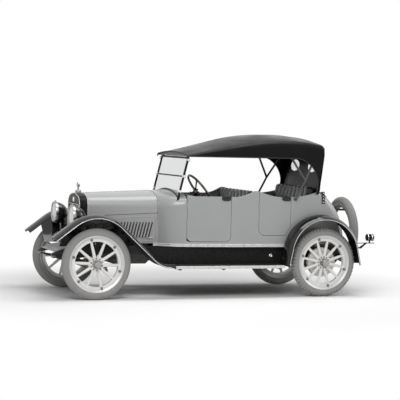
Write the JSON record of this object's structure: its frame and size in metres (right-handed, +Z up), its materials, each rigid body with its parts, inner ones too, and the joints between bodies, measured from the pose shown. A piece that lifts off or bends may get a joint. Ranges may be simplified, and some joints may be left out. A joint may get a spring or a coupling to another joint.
{
  "type": "touring car",
  "caption": "Open five-seat touring car with a raised folding top, wood-spoked wheels, sweeping fenders, running boards, a louvred hood and a rear spare tyre.",
  "frame": {"origin": "ground level, centre of the plan outline", "axes": "+X forward, +Y to the car's left, +Z up"},
  "size_m": [4.1202, 1.618, 1.9758],
  "materials": {
    "frame": "satin",
    "front_axle": "satin",
    "rear_axle": "satin",
    "leaf_springs": "satin",
    "engine": "satin",
    "exhaust": "satin",
    "fuel_tank": "satin",
    "radiator_shell": "satin",
    "radiator_core": "satin",
    "radiator_cap": "polished",
    "headlamps": "satin",
    "headlamp_lenses": "polished",
    "front_fenders": "satin",
    "rear_fenders": "satin",
    "running_boards": "satin",
    "splash_aprons": "satin",
    "front_apron": "satin",
    "hood_sides": "satin",
    "cowl": "satin",
    "floor": "satin",
    "body_sides": "satin",
    "rear_tub": "satin",
    "dashboard": "satin",
    "seat_frames": "satin",
    "seat_cushions": "satin",
    "seat_backs": "satin",
    "steering_column": "satin",
    "controls": "satin",
    "windscreen_frame": "satin",
    "windscreen_glass": "polished",
    "canopy": "satin",
    "top_bows": "satin",
    "back_lights": "polished",
    "spare_tyre": "satin",
    "spare_carrier": "satin",
    "tail_lamp": "satin",
    "knuckle_left": "satin",
    "knuckle_right": "satin",
    "tie_rod": "satin",
    "steering_wheel": "satin",
    "wheel_front_left": "satin",
    "tyre_front_left": "satin",
    "wheel_front_right": "satin",
    "tyre_front_right": "satin",
    "wheel_rear_left": "satin",
    "tyre_rear_left": "satin",
    "wheel_rear_right": "satin",
    "tyre_rear_right": "satin",
    "door_front_left": "satin",
    "door_front_right": "satin",
    "door_rear_left": "satin",
    "door_rear_right": "satin",
    "hood_left": "satin",
    "hood_right": "satin"
  },
  "bodies": {
    "chassis": {"frame": "frame", "front_axle": "front_axle", "rear_axle": "rear_axle", "leaf_springs": "leaf_springs", "engine": "engine", "exhaust": "exhaust", "fuel_tank": "fuel_tank", "radiator_shell": "radiator_shell", "radiator_core": "radiator_core", "radiator_cap": "radiator_cap", "headlamps": "headlamps", "headlamp_lenses": "headlamp_lenses", "front_fenders": "front_fenders", "rear_fenders": "rear_fenders", "running_boards": "running_boards", "splash_aprons": "splash_aprons", "front_apron": "front_apron", "hood_sides": "hood_sides", "cowl": "cowl", "floor": "floor", "body_sides": "body_sides", "rear_tub": "rear_tub", "dashboard": "dashboard", "seat_frames": "seat_frames", "seat_cushions": "seat_cushions", "seat_backs": "seat_backs", "steering_column": "steering_column", "controls": "controls", "windscreen_frame": "windscreen_frame", "windscreen_glass": "windscreen_glass", "canopy": "canopy", "top_bows": "top_bows", "back_lights": "back_lights", "spare_tyre": "spare_tyre", "spare_carrier": "spare_carrier", "tail_lamp": "tail_lamp"},
    "knuckle_left": {"knuckle_left": "knuckle_left"},
    "knuckle_right": {"knuckle_right": "knuckle_right"},
    "tie_rod": {"tie_rod": "tie_rod"},
    "steering_wheel": {"steering_wheel": "steering_wheel"},
    "wheel_front_left": {"wheel_front_left": "wheel_front_left", "tyre_front_left": "tyre_front_left"},
    "wheel_front_right": {"wheel_front_right": "wheel_front_right", "tyre_front_right": "tyre_front_right"},
    "wheel_rear_left": {"wheel_rear_left": "wheel_rear_left", "tyre_rear_left": "tyre_rear_left"},
    "wheel_rear_right": {"wheel_rear_right": "wheel_rear_right", "tyre_rear_right": "tyre_rear_right"},
    "door_front_left": {"door_front_left": "door_front_left"},
    "door_front_right": {"door_front_right": "door_front_right"},
    "door_rear_left": {"door_rear_left": "door_rear_left"},
    "door_rear_right": {"door_rear_right": "door_rear_right"},
    "hood_left": {"hood_left": "hood_left"},
    "hood_right": {"hood_right": "hood_right"}
  },
  "joints": [
    {"name": "steer_left", "type": "hinge", "parent": "chassis", "child": "knuckle_left", "pos_m": [1.53796, 0.606, 0.419], "axis": [0, 0, 1], "range_deg": [-30, 30]},
    {"name": "steer_right", "type": "hinge", "parent": "chassis", "child": "knuckle_right", "pos_m": [1.53796, -0.606, 0.419], "axis": [0, 0, 1], "range_deg": [-30, 30]},
    {"name": "tie_rod_pivot", "type": "hinge", "parent": "knuckle_left", "child": "tie_rod", "pos_m": [1.38796, 0.606, 0.335], "axis": [0, 0, 1], "range_deg": [-30, 30]},
    {"name": "steering_wheel_turn", "type": "hinge", "parent": "chassis", "child": "steering_wheel", "pos_m": [0.12596, 0.285, 1.293], "axis": [-0.7837, 0, 0.6211], "range_deg": [-360, 360]},
    {"name": "wheel_front_left_spin", "type": "hinge", "parent": "knuckle_left", "child": "wheel_front_left", "pos_m": [1.53796, 0.711, 0.419], "axis": [0, 1, 0], "continuous": true},
    {"name": "wheel_front_right_spin", "type": "hinge", "parent": "knuckle_right", "child": "wheel_front_right", "pos_m": [1.53796, -0.711, 0.419], "axis": [0, 1, 0], "continuous": true},
    {"name": "wheel_rear_left_spin", "type": "hinge", "parent": "chassis", "child": "wheel_rear_left", "pos_m": [-1.35804, 0.711, 0.419], "axis": [0, 1, 0], "continuous": true},
    {"name": "wheel_rear_right_spin", "type": "hinge", "parent": "chassis", "child": "wheel_rear_right", "pos_m": [-1.35804, -0.711, 0.419], "axis": [0, 1, 0], "continuous": true},
    {"name": "door_front_left_hinge", "type": "hinge", "parent": "chassis", "child": "door_front_left", "pos_m": [0.37246, 0.56127, 0.95], "axis": [0, 0, -1], "range_deg": [0, 65]},
    {"name": "door_front_right_hinge", "type": "hinge", "parent": "chassis", "child": "door_front_right", "pos_m": [0.37246, -0.56127, 0.95], "axis": [0, 0, 1], "range_deg": [0, 65]},
    {"name": "door_rear_left_hinge", "type": "hinge", "parent": "chassis", "child": "door_rear_left", "pos_m": [-0.53754, 0.61316, 0.95], "axis": [0, 0, -1], "range_deg": [0, 65]},
    {"name": "door_rear_right_hinge", "type": "hinge", "parent": "chassis", "child": "door_rear_right", "pos_m": [-0.53754, -0.61316, 0.95], "axis": [0, 0, 1], "range_deg": [0, 65]},
    {"name": "hood_left_hinge", "type": "hinge", "parent": "chassis", "child": "hood_left", "pos_m": [1.52496, 0, 1.217], "axis": [0.999, 0, -0.0437], "range_deg": [0, 70]},
    {"name": "hood_right_hinge", "type": "hinge", "parent": "chassis", "child": "hood_right", "pos_m": [1.52496, 0, 1.217], "axis": [-0.999, 0, 0.0437], "range_deg": [0, 70]}
  ],
  "couplings": [
    {"joint": "steer_right", "follows": "steer_left", "ratio": 1},
    {"joint": "tie_rod_pivot", "follows": "steer_left", "ratio": -1},
    {"joint": "steering_wheel_turn", "follows": "steer_left", "ratio": 12}
  ]
}
